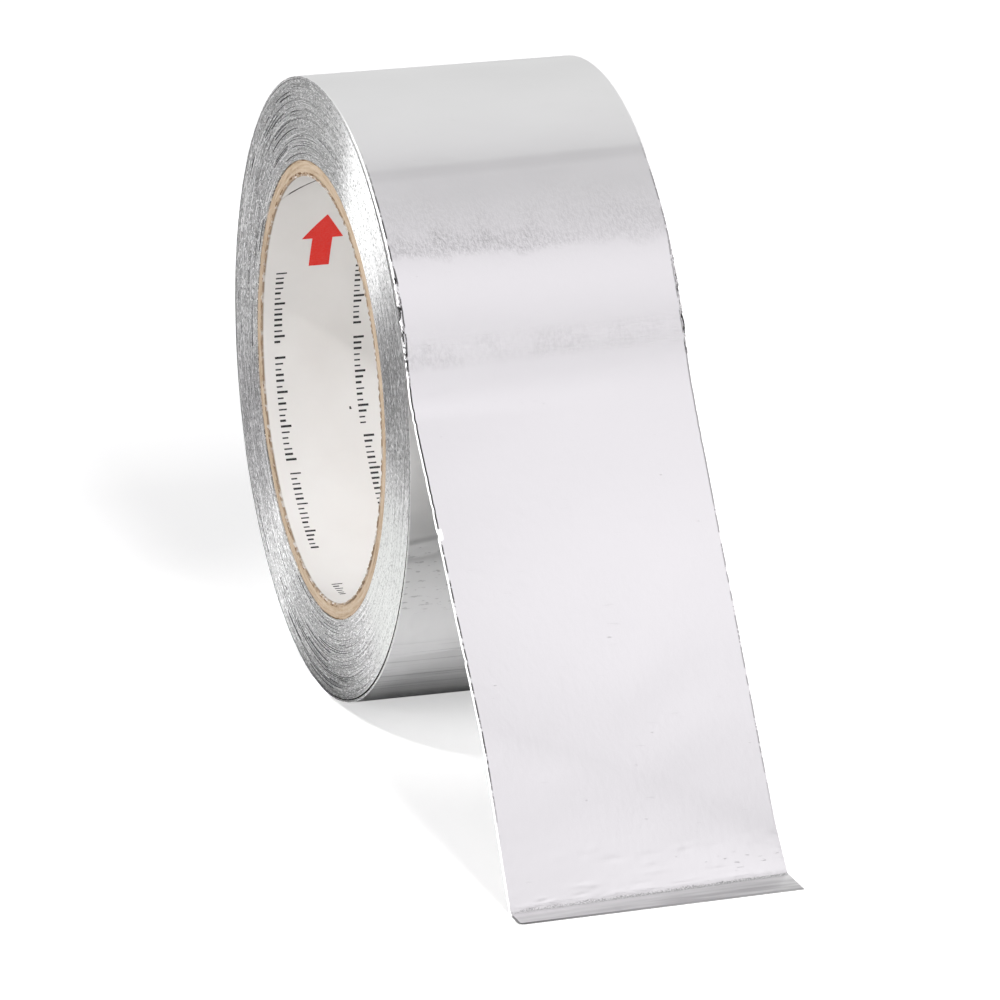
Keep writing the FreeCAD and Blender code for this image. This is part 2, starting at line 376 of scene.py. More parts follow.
def foil_material():
    """Bright face: plain aluminium with faint rolling marks and dents, and painted shade and
    highlights.
    """
    foil = Shader("bright_foil")
    place = foil.tape_place()
    across, along, from_fold = place.parts()
    flat = place.stretch(1, 1, 0)
    streaks = flat.noise(0.1, 2.2, 0, detail=4, roughness=0.6)
    dents = flat.noise(0.8, 0.55, 0, detail=4, roughness=0.6)
    pits = flat.noise(1.6, 0.9, 0, roughness=0.7)
    patches = flat.noise(0.16, 0.1, 0, detail=2)
    clouds = flat.noise(0.05, 0.09, 0)

    # Where the free end was pulled off, the foil is stippled with shallow dents.
    # The dents end at a wandering line, and are strongest just above it, at left.
    from_line = along + patches.remap(0.3, 0.7, -1.2, 1.2)
    above = from_line.remap(*DENTS_END, 1, 0)
    faint = from_line.remap(-27, -19, 0, 0.45) * above
    strong = from_line.remap(-20.5, -16.5) * above * across.remap(-2, 14, 1, 0.35)
    stippled = faint.or_more(strong) * patches.remap(0.4, 0.6, 0.68, 1)
    stipple = (pits - 0.5) * stippled
    dull = stippled * pits.remap(0.43, 0.56, 0.27, 0)
    dull += above * from_line.remap(-30, -16, 0, 0.05)
    # Painted shade in grey lines where it bends: at the kink above, and where it left the roll.
    from_kink = along + across * -KINK[1]
    dull += from_kink.band(KINK[0] + 0.6, KINK[0] + 1.6, 1.3) * 0.09
    from_peel = along + across * 0.03
    peeled = from_peel.band(1.8, 4.2, 1.9) * across.remap(-25, 25, 1, 0.3)
    peeled *= patches.remap(0.42, 0.58, 1, 0.35)
    dull += peeled * pits.remap(0.4, 0.6, 0.28, 0.06)
    # Under the free end: painted shade in a crease across the roll, with short dark marks
    # under it, and thin dark lines lower down.
    from_crease = along + across * 0.13
    dull += from_crease.band(-317.5, -317.2, 0.6) * 0.34
    ticks = flat.noise(0.5, 1.5, 0)
    dull += along.band(-313, -300, 2) * ticks.remap(0.6, 0.66, 0, 0.45)
    thin_lines = flat.noise(0.03, 1.1, 0, roughness=0.6)
    dull += along.band(-288, -266, 3) * thin_lines.remap(0.54, 0.62, 0, 0.34)
    # Short marks across the strip where it bent away from the roll.
    marks = flat.noise(0.5, 2.2, 0, detail=4, roughness=0.65)
    marks = (marks - 0.5) * along.band(0.5, 4.5, 2)
    # The fold at the foot is crumpled.
    crumple = flat.noise(0.9, 2.6, 0, detail=4, roughness=0.7)
    crumple = (crumple - 0.5) * from_fold.band(-0.3, 1, 0.5)
    # Short creases across the strip, with painted shade: most just above the fold, towards
    # the right.
    nicks = flat.noise(0.4, 2.3, 0, detail=2)
    foot = from_fold.band(-4.5, -1.3, 2.5) * across.remap(-12, 18, 0, 0.09)
    creased = (nicks + foot).remap(0.76, 0.8)
    # A few long thin scratches.
    scratch = flat.noise(0.22, 2.4, 0).remap(0.7, 0.76)

    # Painted shadow in dashes just inside the slit edges, beside the rolled-over burr. It is
    # unbroken for a while below the peel.
    inside = HALF_WIDTH - abs(across)
    dashes = flat.noise(0.2, 0.33, 0, detail=4, roughness=0.65)
    broken = dashes.remap(0.43, 0.5, 0, 0.9).or_more(along.band(9, 34, 2))
    from_burr = inside - along.band(*BURR_SPAN, BURR_FADE) * BURR_WIDE
    rim = from_burr.band(0.3, 0.52, 0.08) * broken * across.remap(-20, 20, 1, 0.55)
    rim *= along.band(-24, 78, 14)
    # Painted shade along the fold, which wanders.
    cracks = flat.noise(2.6, 3.4, 0, detail=4, roughness=0.75)
    wander = flat.noise(0.22, 0, 0, detail=4).remap(0.3, 0.7, -0.26, 0.26)
    fold_line = (from_fold + wander).band(0.22, 0.85, 0.3)
    fold_line *= cracks.remap(0.46, 0.54, 0.05, 0.72)
    # The lip has a painted highlight beside the fold. It is darker and patchy towards its right
    # end, and darker towards its front with painted shade; its front edge is dark, partly
    # painted shade of the gap under it.
    fold_highlight = across.remap(-25, 10, 0.9, 0.3) * from_fold.band(0.9, 2, 0.8)
    patchy = flat.noise(0.09, 0.9, 0, detail=4)
    lip_darkening = across.remap(-16, 14, 0, 0.26) + from_fold.remap(1.2, 4.5, 0, 0.42)
    lip_darkening = from_fold.remap(0.3, 1.4) * lip_darkening * patchy.remap(0.36, 0.6, 0.35, 1)
    lip = across.remap(-HALF_WIDTH, HALF_WIDTH, EDGES["left"]["lip"], EDGES["right"]["lip"])
    front = (lip - from_fold).band(-1, 0.32, 0.1) * across.remap(-25, 5, 0.95, 0.25)
    # The rolled-over slit edges and the bent bit at the notch get a painted highlight, and
    # scatter light. Dark bits beside the burr are painted shadow.
    flap = along.band(NOTCH[0] - 0.7, NOTCH[0] + 0.8, 0.4) * across.remap(-24.7, -24.4, 1, 0)
    rolled = inside.remap(0.16, 0.28, 1, 0).or_more(flap) * along.remap(-52, -24, 0.15, 1)
    torn = flat.noise(1.6, 0.55, 0, roughness=0.65).remap(0.5, 0.55)
    torn *= inside.remap(0.5, 0.7, 1, 0)
    torn *= along.band(BURR_SPAN[0], BURR_SPAN[1] + 4, BURR_FADE)
    # Darker on the lip's left end and round its corner.
    corner = across.remap(0.42 - HALF_WIDTH, 0.26 - HALF_WIDTH, 0, 0.9)
    corner *= from_fold.band(1.8, 9, 0.8)

    colour = clouds.ramp((0.3, 0.885), (0.7, 0.915)).coated(
        (DULL, dull), (0.4, creased * 0.3), (EDGE_DARK, rim), (0.24, fold_line), (HIGHLIGHT_TINT, fold_highlight),
        (DARK_LIP, lip_darkening), (0.08, front), (PAINTED_HIGHLIGHT, rolled), (0.03, torn), (EDGE_DARK, corner))
    return foil.surface(
        colour, clouds.remap(0.3, 0.7, 0.29, 0.34), (streaks, 0.001), (dents, 0.026),
        (stipple, 0.24), (marks, 0.1), (crumple, 0.1), (scratch, 0.012), (creased, 0.05),
        Metallic=rolled.remap(0, 1, 1, 0.3))


def adhesive_material():
    """Back of the strip: foil under a clear, slightly yellow and grainy adhesive."""
    back = Shader("adhesive_face")
    place = back.tape_place()
    grain = place.noise(scale=1.6, detail=4, roughness=0.6)
    smears = place.noise(0.12, 0.03, 1)
    colour = smears.ramp((0.3, (0.83, 0.82, 0.8)), (0.7, (0.91, 0.9, 0.89)))
    return back.surface(colour, grain.remap(0.3, 0.7, 0.34, 0.5), (grain, 0.02),
                        Metallic=0.9, Coat_Weight=0.6, Coat_Roughness=0.25)


def cut_edge_material():
    """The strip's slit and torn edges: bright where freshly cut, with grey flecks."""
    edge = Shader("cut_edge")
    place = edge.tape_place()
    flecks = place.noise(1, 1.8, 0)
    # The torn front edge of the lip is dull.
    from_fold = place.parts()[2]
    colour = flecks.ramp((0.35, 0.3), (0.5, 0.78), (0.8, 0.92)).coated(
        (0.1, from_fold.remap(3, 5, 0, 0.85)))
    return edge.surface(colour, 0.4, (flecks, 0.02), Metallic=0.35)


def turn_edges_material():
    """Side of the roll: the slit edges of the turns, with painted highlights and painted shade.
    """
    turns = Shader("turn_edges")
    rings = turns.ring_place(2.2, 3.4).noise(detail=5, roughness=0.75)
    threads = turns.ring_place(9, 6).noise(detail=2)
    specks = turns.ring_place(80, 4.6).noise(detail=2, roughness=0.6)
    glints = turns.ring_place(50, 5.2).noise(detail=2, roughness=0.6)
    arcs = turns.ring_place(3, 4.2).noise(detail=2)
    # The angle over the axis: 0 in front, 90 at the top.
    back, up = turns.place().parts()[1:]
    angle = turns.math("DEGREES", turns.math("ARCTAN2", up, back * -1))

    # Painted highlights on the upper front, and at the rim just above.
    wedge_highlight = angle.band(42, 66, 9) * 0.4
    rim_highlight = angle.band(56, 78, 10) * turns.radius().remap(49, 55, 0, 0.6)
    # Painted reflection: paler low on the front. Painted shade: darker just above that,
    # underneath and behind the top.
    pale = angle.band(-40, -14, 12) * PALEST
    dark_sectors = angle.band(5, 24, 6) * 0.31
    dark_sectors = dark_sectors.or_more(angle.band(-150, -68, 16) * 0.21)
    dark_sectors = dark_sectors.or_more(angle.band(84, 190, 10) * 0.22)
    # Dark specks, painted glints, and painted highlights as long thin arcs.
    dark = specks.remap(0.53, 0.64, 0, 0.8) * pale.remap(0, PALEST, 1, 0.6)
    glint = glints.remap(0.55, 0.61) * pale.remap(0, PALEST, 1, 0.15)
    proud = arcs.remap(0.615, 0.65, 0, 0.8) * pale.remap(0, PALEST, 1, 0.3)

    colour = rings.ramp((0.34, 0.2), (0.46, 0.53), (0.6, 0.8)).coated(
        (PAINTED_HIGHLIGHT, wedge_highlight), (PAINTED_HIGHLIGHT, rim_highlight), ((0.76, 0.785, 0.76), pale), (0.3, dark_sectors),
        (0.1, dark), (1, glint), (0.98, proud))
    return turns.surface(colour, 0.39, (threads, 0.03), (specks, 0.008), Metallic=0.9,
                         Anisotropic=0.9, Anisotropic_Rotation=0.25,
                         Tangent=turns("Tangent", direction_type="RADIAL", axis="X"))


def gap_material():
    """Dark adhesive and painted shade deep between the turns."""
    gap = Shader("gap_adhesive_and_shade")
    grains = gap.place().noise(scale=1.5)
    return gap.surface(grains.ramp((0.4, 0.015), (0.7, 0.07)), 0.8, (grains, 0.02),
                       Specular_IOR_Level=0.2)


def board_material():
    """Brown core board, seen on its cut ends and inside the roll."""
    board = Shader("kraft_board")
    plies = board.ring_place(5, 2).noise(detail=5, roughness=0.7)
    fibres = board.place().noise(scale=1.4, detail=6, roughness=0.75)
    # Dark dashes at the inner and outer rims.
    dashes = board.ring_place(16, 0.8).noise()
    radius = board.radius()
    rims = radius.band(38, 38.75, 0.1).or_more(radius.band(40.78, 41.2, 0.08))
    rims *= dashes.remap(0.44, 0.55, 0, 0.95)
    colour = plies.ramp((0.3, (0.2, 0.125, 0.07)), (0.42, (0.38, 0.29, 0.2)),
                        (0.6, (0.465, 0.37, 0.28)), (0.75, (0.56, 0.475, 0.385)))
    colour = colour.coated(((0.53, 0.45, 0.37), fibres.remap(0.52, 0.72, 0, 0.6)),
                           ((0.15, 0.085, 0.04), rims))
    return board.surface(colour, 0.9, (fibres, 0.12), Specular_IOR_Level=0.2)


def paper_material():
    """White paper ply that lines the core, with a dark joint where its edges meet."""
    paper = Shader("liner_paper")
    place = paper.place()
    fibres = place.noise(scale=1.1, detail=6, roughness=0.7)
    clouds = place.noise(scale=0.08)
    across, from_seam = paper.tape_place().parts()[:2]
    # The joint is dark with dirt and with painted shade in its gap.
    joint = from_seam.band(-SEAM_DARK, SEAM_DARK, 0.1) * across.remap(-24.3, -23.9, 0.15, 1)
    joint *= place.noise(0.9, 0, 0, detail=2).remap(0.34, 0.42, 0.25, 1)
    # Board dust clings to the ragged ends in dashes.
    dust = paper.ring_place(18, 0.5).noise().remap(0.38, 0.5, 0.35, 0.95)
    dust = abs(across).remap(HALF_WIDTH - 0.55, HALF_WIDTH - 0.3) * dust
    colour = clouds.ramp((0.3, (0.732, 0.712, 0.688)), (0.7, (0.772, 0.756, 0.735)))
    colour = colour.coated(((0.05, 0.045, 0.04), joint), ((0.26, 0.18, 0.11), dust))
    return paper.surface(colour, 0.75, (fibres, 0.03), Specular_IOR_Level=0.3)


def ink_material(name, colour):
    """Flat printing ink, slightly uneven."""
    ink = Shader(name)
    uneven = ink.place().noise(scale=3)
    lighter = tuple(0.93 * part + 0.03 for part in colour)
    return ink.surface(uneven.ramp((0.35, colour), (0.75, lighter)), 0.6, (uneven, 0.01),
                       Specular_IOR_Level=0.15)


# ---- wound turns

RING_STEPS = 300
LEAN = (0.26, 0.1, 125)  # how the slit edges lean outwards: mean, swing, and where most
BAND_WIDTH = (0.12, 0.38)  # least and most, of a few turns that stand together
SUNK_BANDS = 0.22  # share of the bands that lie deeper over and under the bore
GAPS = 0.7  # share of the bands that may have a gap beside them
GAP_WIDTH = (0.04, 0.09)
GAP_DEPTH = 0.16
DEEPEST = 0.7  # of anything on the side
WALL = 0.004  # a steep wall's width
RIM_BAND = 0.34  # the two turns next to the last one
RIM_GROOVE = 0.95  # from the outside to the far side of the gap beside them
GROOVE_DEPTH = 0.55


def side_profile(inner, outer, angles, coarse):
    """Radii and depths of the roll's side, row by row, and which faces are dark gaps.

    The slit edges stand in bands of a few turns. They lean outwards, so that each band is
    lower at its outer edge. Here and there a gap opens between two bands, most often over
    the top and under the bore. A wider gap runs just inside the rim.
    """
    mean, swing, most = LEAN
    lean = mean + swing * np.cos(np.radians(angles - most))
    loose = (0.5 + 0.5 * np.cos(np.radians(2 * (angles - 80)))) ** 2
    warp = ring_wave(angles, 3, 4)
    flat = np.zeros(len(angles))
    radii, depths, dark = [], [], []

    def row(radius, depth, gap_before):
        radii.append(radius + flat)
        depths.append(flat + np.clip(depth, 0, DEEPEST))
        dark.append(gap_before)

    none = np.zeros(len(angles), bool)
    shut = none
    at, end = inner, outer - RIM_GROOVE
    while at < end - 0.05:
        width = min(rng.uniform(*BAND_WIDTH) * coarse, end - at)
        level = 0.03 + 0.014 * rng.random() + 0.01 * ring_wave(angles, 14, 5)
        level += 0.02 * np.sin(0.9 * (at - inner) + 0.5 * warp)
        if rng.random() < SUNK_BANDS:
            level = level + rng.uniform(0.04, 0.1) * loose
        level = np.clip(level + 0.012 * rng.random(len(angles)), 0, 0.4)
        row(at, level, shut)
        row(at + width, level + lean * width, none)
        at += width
        gap = rng.uniform(*GAP_WIDTH)
        shut = none
        if rng.random() < GAPS and at < end - gap - 0.1:
            wide_open = ring_wave(angles, 13, 7) + 1.2 * loose > rng.uniform(1, 2)
            bottom = level + np.where(wide_open, GAP_DEPTH, lean * width)
            row(at + WALL, bottom, wide_open)
            row(at + gap, bottom, wide_open)
            at += gap + WALL
            shut = wide_open
    # The groove inside the rim is widest on the upper front and low on the front.
    every = ~none
    narrow = 0.34 * (0.5 - 0.5 * np.cos(np.radians(angles - 330)) ** 3)
    open_side = np.maximum(hump(angles, 132, 18), hump(angles, 212, 34))
    fill = np.clip(0.58 - 0.5 * open_side - 0.2 * narrow, 0.05, 0.58)
    radii[-1] = radii[-1] + fill
    row(end + WALL + fill, GROOVE_DEPTH, every)
    row(outer - RIM_BAND, GROOVE_DEPTH, every)
    row(outer - RIM_BAND + WALL, 0.02, every)
    row(outer, 0.03, none)
    return np.array(radii), np.array(depths), np.array(dark[1:])


def wound_turns(side_material, outside_material, dark_material):
    """The turns under the last one. Their slit edges stand in bands of uneven height."""
    inner, outer = CORE_OUTER, ROLL_RADIUS - 2 * TAPE
    angles = np.arange(RING_STEPS) * 360 / RING_STEPS
    points, faces, slots, grids = [], [], [], []
    first = 0
    for side, coarse in ((-1, 1), (1, 1.6)):
        ring, depth, dark = side_profile(inner, outer, angles, coarse)
        # Points are stored angle by angle, and the last angle joins the first.
        yz = polar(ring.T, angles[:, None])
        yz[..., 1] = np.maximum(yz[..., 1], FLOOR + 0.02)
        points.append(with_x(side * (HALF_WIDTH - depth.T), yz))
        grid = first + np.arange(ring.size).reshape(RING_STEPS, len(ring))
        grids.append(np.vstack([grid, grid[:1]]))
        faces.append(quads(grids[-1], flip=side > 0))
        slots.append(np.where(dark.T.ravel(), 2, 0))
        first += ring.size
    # Outer and inner walls join the two sides.
    for edge, slot in ((-1, 1), (0, 0)):
        wall = np.stack([grid[:, edge] for grid in grids], axis=1)
        faces.append(quads(wall, flip=edge == 0))
        slots.append(np.full(RING_STEPS, slot))
    make_piece("wound_turns", np.concatenate(points), np.concatenate(faces),
               [side_material, outside_material, dark_material], np.concatenate(slots),
               "foil_tape", crisp=25)


# ---- last turn and free end

# Rows of the last turn, from one polar angle to the next: close together low on the front,
# where it is wrinkled, and before it peels away.
TURN_SPANS = ((PEEL_AT, 184, 12), (184, 242, 112), (242, 470, 56), (470, PEEL_AT + 360, 90))
TURN_ROWS = sum(rows for _, _, rows in TURN_SPANS)
# Rows in each run and arc of the free end, and how much they gather towards its end.
SPAN_ROWS = ((20, 1), (16, 1), (84, 1), (14, 1), (52, 2), (10, 1), (16, 1))
CREASE_ROW = TURN_ROWS + sum(rows for rows, _ in SPAN_ROWS[:5])
EDGE_COLUMNS = (0, 0.05, 0.1, 0.16, 0.24, 0.34, 0.48, 0.7, 1.05, 1.5)
INNER_COLUMNS = 78
# Slack ridges low on the front of the roll: place along, slope against x, height, half width.
SLACK_RIDGES = ((-314.3, 0.13, 0.13, 0.9), (-311.2, 0.15, -0.07, 0.6),
                (-305, -0.1, 0.03, 0.7), (-286, 0.06, 0.05, 0.55),
                (-283.2, 0.08, -0.05, 0.6), (-279, 0.05, 0.05, 0.55),
                (-275.5, 0.07, 0.05, 0.55), (-271, 0.05, -0.05, 0.6))
# Slack rings there: place along, place across, size and height.
SLACK_RINGS = ((-296, -21.5, 2, 0.08), (-291, -21, 1.5, 0.07))
# Wrinkles along the fold: place from the fold, half width, height and number of waves.
FOLD_WRINKLES = ((-0.3, 0.35, 0.035, 7), (0.45, 0.28, -0.035, 7), (1.1, 0.4, 0.03, 6))


def rounded_route(corners, radii):
    """Runs and arcs round corners: each is a function of its share, from 0 to 1."""
    spans = []
    begin = corners[0]
    for before, corner, after, radius in zip(corners, corners[1:], corners[2:], radii):
        back, ahead = ((end - corner) / np.linalg.norm(end - corner)
                       for end in (before, after))
        half_turn = (math.pi - math.acos(np.clip(back @ ahead, -1, 1))) / 2
        reach = radius * math.tan(half_turn)
        inwards = (back + ahead) / np.linalg.norm(back + ahead)
        centre = corner + inwards * radius / math.cos(half_turn)
        first, last = corner + back * reach, corner + ahead * reach
        spans += [partial(run_points, begin, first), partial(arc_points, centre, first, last)]
        begin = last
    return spans + [partial(run_points, begin, corners[-1])]


def run_points(first, last, share):
    """Points of a straight run, at shares of its length."""
    return first + (last - first) * share[:, None]


def arc_points(centre, first, last, share):
    """Points of the arc from the first point to the last, at shares of its length."""
    start, end = first - centre, last - centre
    turn = math.atan2(start[0] * end[1] - start[1] * end[0], start @ end)
    c, s = np.cos(turn * share), np.sin(turn * share)
    return centre + np.stack([start[0] * c - start[1] * s, start[0] * s + start[1] * c], axis=1)


def edge_spans(edge):
    """The free end's route along one of its edges."""
    leave = polar(ROLL_RADIUS, PEEL_AT)
    bend = leave + polar(edge["run"], PEEL_AT + 90)
    reach, rise = edge["bend"]
    lower = np.array([-ROLL_RADIUS - reach, FLOOR + rise])
    crease = np.array([-ROLL_RADIUS - edge["crease"], FLOOR + TAPE])
    tip = crease + np.array([-edge["lip"], LIP_RISE])
    return rounded_route([leave, bend, lower, crease, tip], edge["radii"])


def strip_route():
    """Left and right edge points (y, z) of the strip's bright face, row by row."""
    # The last turn goes once round the roll, from under the free end back to where it leaves.
    turn = np.concatenate([np.linspace(first, last, rows, endpoint=False)
                           for first, last, rows in TURN_SPANS])
    # Its second half climbs by the tape's thickness.
    climb = np.radians(np.maximum(turn, PEEL_AT + 180) - PEEL_AT)
    last_turn = polar(ROLL_RADIUS - TAPE / 2 * (1 - np.cos(climb)), turn)
    sides = []
    for edge in EDGES.values():
        spans = edge_spans(edge)
        parts = [last_turn]
        for span, (rows, gather) in zip(spans, SPAN_ROWS):
            share = np.linspace(0, 1, rows, endpoint=False)
            parts.append(span(1 - (1 - share) ** gather))
        parts.append(spans[-1](np.array([1.0])))
        sides.append(np.concatenate(parts))
    return sides


def strip_columns():
    """Shares of the width, closest together along the two slit edges."""
    width = 2 * HALF_WIDTH
    edge = np.array(EDGE_COLUMNS) / width
    inner = np.linspace(edge[-1], 1 - edge[-1], INNER_COLUMNS)[1:-1]
    return np.concatenate([edge, inner, 1 - edge[::-1]])


def last_turn_and_free_end(materials):
    """One closed thin strip: the outermost turn and the peeled end."""
    left, right = strip_route()
    across = strip_columns()
    rows, columns = len(left), len(across)
    share = across[None, :, None]
    yz = left[:, None] * (1 - share) + right[:, None] * share
    step = np.linalg.norm(np.diff(yz, axis=0), axis=2)
    s = np.concatenate([np.zeros((1, columns)), np.cumsum(step, axis=0)])
    s -= s[TURN_ROWS]  # along the strip, from where it leaves the roll
    crease = s - s[CREASE_ROW]  # the same from the fold at the foot
    tangent = np.gradient(yz, axis=0)
    tangent /= np.linalg.norm(tangent, axis=2, keepdims=True)
    normal = np.stack([-tangent[..., 1], tangent[..., 0]], axis=-1)
    normal *= np.sign((normal * yz).sum(2)[0, 0])

    x = np.ones((rows, 1)) * (2 * across - 1)[None, :] * HALF_WIDTH
    lift = relief(x, s, crease)
    curl = edge_curl(x, s)
    face = yz + normal * (lift - curl)[..., None]
    back = face - normal * (TAPE * (1 - 0.5 * smooth_step(0, 0.3, curl)))[..., None]
    tip = shaped_tip(x, crease, s[-1] - s[CREASE_ROW])[..., None]
    ragged = ragged_edges(x, s)

    points = np.concatenate([with_x(ragged, layer + tangent * tip) for layer in (face, back)])
    points[:, 2] = np.maximum(points[:, 2], FLOOR)
    points[:, 1] = np.minimum(points[:, 1], tape_high.y / MM)
    faces, slots = sheet_faces(rows, columns)
    make_piece("last_turn_and_free_end", points, faces, materials, slots, "foil_tape",
               crisp=50, tape_place=(x, s, crease))


def relief(x, s, crease):
    """How far the strip stands off its plain route, in millimetres."""
    # The last turn starts to lift before it leaves the roll.
    lift = LIFT_OFF * smooth_step(-30, -12, s) * (1 - smooth_step(-2, 12, s))
    # Higher up a slack swell ends in a kink, from where the foil bends down more steeply.
    past = (s - KINK[0] - KINK[1] * x) / KINK[2]
    lift += KINK[3] * smooth_step(-62, -34, s) * np.clip(1 - np.clip(past, 0, 1), 0, 1) ** 2
    # A faint bend across the strip where it was pulled off.
    lift += 0.11 * hump(s + 0.03 * x, 3.6, 1.6) * smooth_step(0, 2, s)
    loose = smooth_step(4, 14, s) * (1 - smooth_step(-6, -3, crease))
    lift += 0.03 * loose * wavy(s + 0.3 * x, 34, 11, 5) * (0.6 + 0.4 * wavy(x, 60, 20, 3))
    # Slack wrinkles under the free end.
    for at, slope, height, width in SLACK_RIDGES:
        lift += height * hump(s + slope * (x + 22), at, width)
    for at, beside, size, height in SLACK_RINGS:
        lift += height * hump(np.hypot(x - beside, 0.7 * (s - at)), size, 0.6)
    # The fold at the foot is crumpled: short wrinkles lie along it.
    wander = 0.35 * wavy(x, 26, 7, 4)
    for middle, width, height, waves in FOLD_WRINKLES:
        uneven = 0.45 + 0.55 * wavy(x, 6, 1.5, waves)
        lift += height * uneven * hump(crease + wander, middle, width)
    add_dents(lift, x, crease, 40, (-1.4, 1.2), (0.6, 1.6), (0.15, 0.3), (0.01, 0.03), 0.2)
    # Short dents across the strip near its foot, most of them at the right.
    add_dents(lift, x, crease, 22, (-9, -1.5), (0.8, 2.4), (0.16, 0.3), (0.025, 0.06),
              mostly_right=True)
    # A few more over the whole free end and the top of the roll.
    add_dents(lift, x, s, 80, (-62, 90), (0.6, 2.6), (0.2, 0.5), (0.01, 0.034), 0.3)
    return lift


def add_dents(lift, x, s, count, span, lengths, widths, heights, steepest=0,
              mostly_right=False):
    """Small bumps and dents in a span of the strip, each longer across it than along."""
    for _ in range(count):
        at = rng.uniform(*span)
        beside = 25 - rng.uniform(0, 1) ** 1.5 * 44 if mostly_right else rng.uniform(-24, 24)
        length, width = rng.uniform(*lengths), rng.uniform(*widths)
        slope = rng.uniform(-steepest, steepest) if steepest else 0
        bump = np.exp(-((x - beside) / length) ** 2
                      - ((s - at - slope * (x - beside)) / width) ** 2)
        lift += rng.choice([-1, 1]) * rng.uniform(*heights) * bump


def edge_curl(x, s):
    """The knife rolled the slit edges over: they fall away from the bright face."""
    inside = HALF_WIDTH - np.abs(x)
    low, high = BURR_SPAN
    burr = smooth_step(low - BURR_FADE, low, s) * (1 - smooth_step(high, high + BURR_FADE, s))
    flap = hump(s, NOTCH[0], FLAP[0]) * (x < 0)
    wide = 0.2 + BURR_WIDE * burr + FLAP[1] * flap
    depth = np.clip(1 - inside / wide, 0, 1) ** 2
    uneven = 0.75 + 0.25 * wavy(s, 7, 1.5, 6)
    return (0.12 + 0.2 * burr + 0.25 * flap) * depth * uneven * smooth_step(-60, -36, s)


def ragged_edges(x, s):
    """Slit edges that wander a little, with nicks where the strip was pulled off."""
    inside = HALF_WIDTH - np.abs(x)
    near = np.clip(1 - inside / 1.2, 0, 1)
    along = s[:, :1]
    torn = hump(along, -3, 9)
    wander = 0.015 * (1 + wavy(along, 9, 1.4, 8)) + 0.1 * torn * (1 + wavy(along, 3, 0.9, 8))
    left = wander + NOTCH[1] * hump(along, NOTCH[0], 0.5)
    right = wander.copy()
    for side in (left, right):
        for _ in range(10):
            at, deep = rng.uniform(-12, 60), rng.uniform(0.05, 0.18)
            side += deep * hump(along, at, rng.uniform(0.3, 0.6))
    return np.where(x < 0, x + near * np.clip(left, 0, 0.8), x - near * np.clip(right, 0, 0.8))


def shaped_tip(x, crease, lip):
    """Rounds the lip's left corner: how far the end moves along the strip."""
    back = np.clip(CORNER - (x + HALF_WIDTH), 0, CORNER)
    cut = CORNER - np.sqrt(np.clip(CORNER ** 2 - back ** 2, 0, None))
    return -cut * smooth_step(0.55, 1, np.clip(crease / lip, 0, 1))


# ---- core and liner

PLY = 0.55  # thickness of one ply of the board
SEAM_START, SEAM_SLOPE = 45.6, 2.82  # the liner's spiral joint: degrees, and degrees a mm
SEAM_GAP = 0.0006  # half the gap at the joint, as a share of a turn


def core(materials):
    """Board core. Its cut ends show the plies and are a little fuzzy."""
    steps, rings = 540, 11
    angles = np.arange(steps) * 360 / steps
    radii = np.linspace(LINER_OUTER, CORE_OUTER, rings)
    lengths = np.linspace(-HALF_WIDTH, HALF_WIDTH, 6)[1:-1]
    columns = []
    for side, order in ((-1, radii), (1, radii[::-1])):
        for radius in order:
            ply = math.floor((radius - LINER_OUTER) / PLY)
            depth = 0.05 + 0.05 * (ply % 2) + 0.05 * rng.random(steps)
            depth += 0.04 * (1 + ring_wave(angles, 40, 8))
            rim = min(radius - LINER_OUTER, CORE_OUTER - radius)
            depth += (0.1 + 0.14 * rng.random(steps)) * hump(rim, 0, 0.2)
            columns.append((side * (HALF_WIDTH - depth), radius))
        # From the left end along the outside, and from the right end back along the inside.
        wall = CORE_OUTER if side < 0 else LINER_OUTER
        columns += [(-side * x * np.ones(steps), wall) for x in lengths]
    points = np.stack([with_x(x, polar(radius, angles)) for x, radius in columns], axis=1)
    grid = np.arange(steps * len(columns)).reshape(steps, -1)
    # The last points join the first both ways round. The roll picks the quads' diagonals.
    faces = np.roll(quads(np.pad(grid, (0, 1), mode="wrap"), flip=True), 1, axis=1)
    make_piece("board_tube", points.reshape(-1, 3), faces, materials, 0, "core",
               crisp=40)


def liner(materials):
    """Paper ply inside the core, butted along a spiral joint and ragged at its ends."""
    steps, columns = 600, 40
    share = np.linspace(SEAM_GAP, 1 - SEAM_GAP, steps)
    length = np.linspace(-HALF_WIDTH, HALF_WIDTH, columns)
    # Its columns are closest together at the ends.
    length = HALF_WIDTH * np.sign(length) * np.abs(length / HALF_WIDTH) ** 0.7
    angle = SEAM_START + SEAM_SLOPE * (length[None, :] + HALF_WIDTH) + 360 * share[:, None]
    x = length[None, :] * np.ones((steps, 1))
    around = angle * math.pi / 180 * BORE
    from_seam = np.minimum(share, 1 - share)[:, None] * 2 * math.pi * BORE * np.ones_like(x)
    for side, column in ((-1, 0), (1, -1)):
        torn = 0.06 * (1 + wavy(around[:, column], 4, 0.9, 10))
        torn += 0.2 * smooth_step(0.1, 0.8, wavy(around[:, column], 3, 0.8, 14))
        x[:, column] -= side * np.clip(torn, 0, 0.7)
    # One side of the joint stands proud of the other by a hair.
    proud = 0.05 * hump(share[:, None], 0, 0.004)
    inner = polar(BORE, angle) * (1 - proud / BORE)[..., None]
    outer = polar(LINER_OUTER, angle)
    points = np.concatenate([with_x(x, inner), with_x(x, outer)])
    make_piece("paper_ply", points, sheet_faces(steps, columns)[0], materials, 0,
               "bore_liner", crisp=40,
               tape_place=(x, from_seam, np.zeros_like(x)))


# ---- printing in the bore

INK_PROUD = 0.03
INK_SUNK = 0.02
RED, BLACK = 0, 1  # material slots of the printing
ARROW_FOOT, ARROW_MIDDLE = 17.5, -15  # polar angle of its foot, and x
SHAFT, HEAD = (6.4, 1.9), (12.8, 3.9)  # where each ends above the foot, and half width
